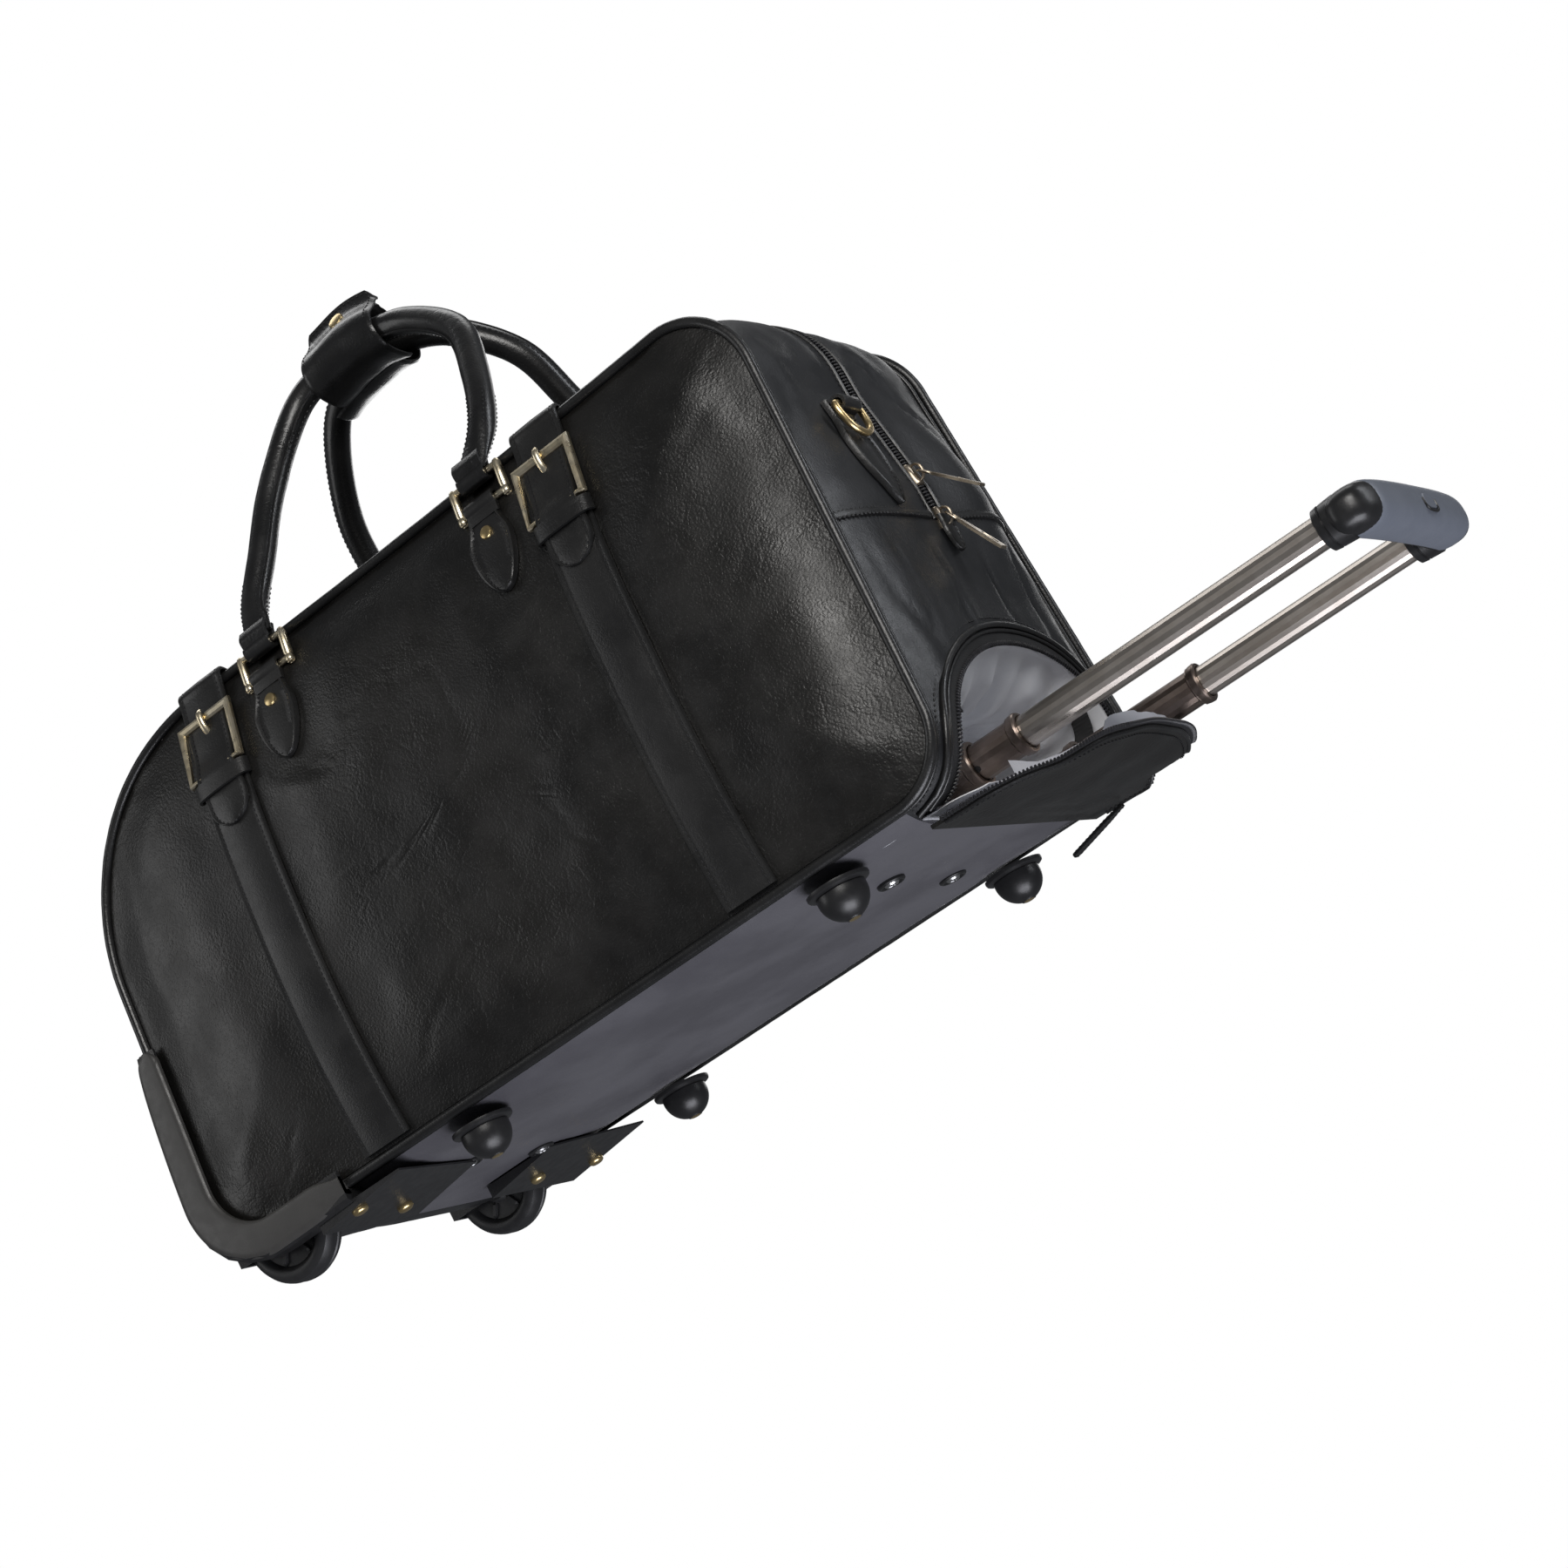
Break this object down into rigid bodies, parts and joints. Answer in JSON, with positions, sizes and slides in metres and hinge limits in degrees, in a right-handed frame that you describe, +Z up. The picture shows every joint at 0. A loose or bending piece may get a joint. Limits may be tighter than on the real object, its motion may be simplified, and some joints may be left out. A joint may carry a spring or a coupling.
{
  "type": "wheeled leather holdall",
  "caption": "Black leather wheeled holdall with carry handles, buckled straps, an end pocket and a telescopic trolley handle drawn out flat along its base.",
  "frame": {"origin": "middle of the overall length and depth, on the floor plane under the feet", "axes": "+X towards the trolley handle, +Y towards the back of the bag, +Z up"},
  "size_m": [0.8114, 0.2748, 0.5172],
  "materials": {
    "leather": "grained, semi-gloss",
    "leather_trim": "smooth, semi-gloss, edge-stitched",
    "zip_tape": "woven tape with coil teeth",
    "black_plastic": "satin",
    "tyre": "satin",
    "brass": "brushed antique",
    "tube_metal": "brushed, champagne",
    "dark_tube_metal": "brushed, darker champagne",
    "steel": "plain",
    "grip_grey": "satin",
    "board": "lining cloth over board"
  },
  "bodies": {
    "bag": {"axle_back": "steel", "axle_front": "steel", "back_panel": "leather", "base_board": "board", "bottom_panel": "leather", "buckle_back_handle_side": "brass", "buckle_back_wheel_side": "brass", "buckle_front_handle_side": "brass", "buckle_front_wheel_side": "brass", "d_ring_tab_handle_end": "leather_trim", "d_ring_tab_wheel_end": "leather_trim", "end_panel_handle": "leather", "end_panel_wheel": "leather", "foot_handle_end_back": "black_plastic", "foot_handle_end_front": "black_plastic", "foot_wheel_end_back": "black_plastic", "foot_wheel_end_front": "black_plastic", "front_panel": "leather", "main_zip": "zip_tape", "outer_tube_far": "dark_tube_metal", "outer_tube_near": "dark_tube_metal", "piping_back": "leather_trim", "piping_front": "leather_trim", "strap_back_handle_side": "leather_trim", "strap_back_wheel_side": "leather_trim", "strap_front_handle_side": "leather_trim", "strap_front_wheel_side": "leather_trim", "tab_back_handle_side": "leather_trim", "tab_back_wheel_side": "leather_trim", "tab_front_handle_side": "leather_trim", "tab_front_wheel_side": "leather_trim", "top_panel_back": "leather", "top_panel_front": "leather", "tube_bracket_front": "black_plastic", "tube_bracket_rear": "black_plastic", "wheel_housing_back": "black_plastic", "wheel_housing_front": "black_plastic"},
    "wheel_front_body": {"wheel_front": "tyre"},
    "wheel_back_body": {"wheel_back": "tyre"},
    "middle_stage_far": {"middle_tube_far": "dark_tube_metal"},
    "middle_stage_near": {"middle_tube_near": "dark_tube_metal"},
    "grip": {"inner_tube_near": "tube_metal", "inner_tube_far": "tube_metal", "grip_body": "black_plastic", "grip_cover": "grip_grey"},
    "button": {"grip_button": "grip_grey"},
    "carry_front": {"carry_handle_front": "leather_trim", "handle_wrap_front": "leather_trim", "handle_ring_front_handle_side": "brass", "handle_ring_front_wheel_side": "brass"},
    "carry_back": {"carry_handle_back": "leather_trim", "handle_wrap_back": "leather_trim", "handle_ring_back_handle_side": "brass", "handle_ring_back_wheel_side": "brass"},
    "ring_handle_end": {"d_ring_handle_end": "brass"},
    "ring_wheel_end": {"d_ring_wheel_end": "brass"},
    "pull_upper": {"main_zip_pull_upper": "brass"},
    "pull_lower": {"main_zip_pull_lower": "brass"},
    "flap": {"pocket_flap": "leather"},
    "pocket_pull": {"pocket_zip_pull": "leather_trim"}
  },
  "joints": [
    {"name": "wheel_front_spin", "type": "hinge", "parent": "bag", "child": "wheel_front_body", "pos_m": [-0.35516, -0.109, 0.031], "axis": [0, 1, 0], "continuous": true},
    {"name": "wheel_back_spin", "type": "hinge", "parent": "bag", "child": "wheel_back_body", "pos_m": [-0.35516, 0.109, 0.031], "axis": [0, 1, 0], "continuous": true},
    {"name": "far_middle_slide", "type": "slide", "parent": "bag", "child": "middle_stage_far", "axis": [1, 0, 0], "range_m": [-0.0785, 0.115]},
    {"name": "near_middle_slide", "type": "slide", "parent": "bag", "child": "middle_stage_near", "axis": [1, 0, 0], "range_m": [-0.0252, 0.037]},
    {"name": "grip_slide", "type": "slide", "parent": "middle_stage_far", "child": "grip", "axis": [1, 0, 0], "range_m": [-0.137, 0.046]},
    {"name": "button_press", "type": "slide", "parent": "grip", "child": "button", "axis": [-1, 0, 0], "range_m": [0, 0.003], "stiffness_N_per_m": 300, "springref_m": -0.002},
    {"name": "carry_front_hinge", "type": "hinge", "parent": "bag", "child": "carry_front", "pos_m": [-0.11756, -0.1038, 0.3165], "axis": [1, 0, 0], "range_deg": [0, 125]},
    {"name": "carry_back_hinge", "type": "hinge", "parent": "bag", "child": "carry_back", "pos_m": [-0.11756, 0.1038, 0.3165], "axis": [-1, 0, 0], "range_deg": [0, 125]},
    {"name": "ring_handle_end_hinge", "type": "hinge", "parent": "bag", "child": "ring_handle_end", "pos_m": [0.16732, -0.042, 0.258], "axis": [0, -1, 0], "range_deg": [0, 95]},
    {"name": "ring_wheel_end_hinge", "type": "hinge", "parent": "bag", "child": "ring_wheel_end", "pos_m": [-0.39726, 0.042, 0.258], "axis": [0, 1, 0], "range_deg": [0, 95]},
    {"name": "pull_upper_hinge", "type": "hinge", "parent": "bag", "child": "pull_upper", "pos_m": [0.17127, -0.001, 0.2155], "axis": [0, -1, 0], "range_deg": [-7, 60]},
    {"name": "pull_lower_hinge", "type": "hinge", "parent": "bag", "child": "pull_lower", "pos_m": [0.17264, 0.001, 0.1865], "axis": [0, -1, 0], "range_deg": [-24, 44]},
    {"name": "flap_hinge", "type": "hinge", "parent": "bag", "child": "flap", "pos_m": [0.11944, 0, 0.0198], "axis": [0, -1, 0], "range_deg": [-42, 5.5]},
    {"name": "pocket_pull_hinge", "type": "hinge", "parent": "flap", "child": "pocket_pull", "pos_m": [0.14444, 0.0895, 0.0125], "axis": [0, -1, 0], "range_deg": [0, 110]}
  ],
  "couplings": [
    {"joint": "near_middle_slide", "follows": "far_middle_slide", "ratio": 0.32}
  ]
}
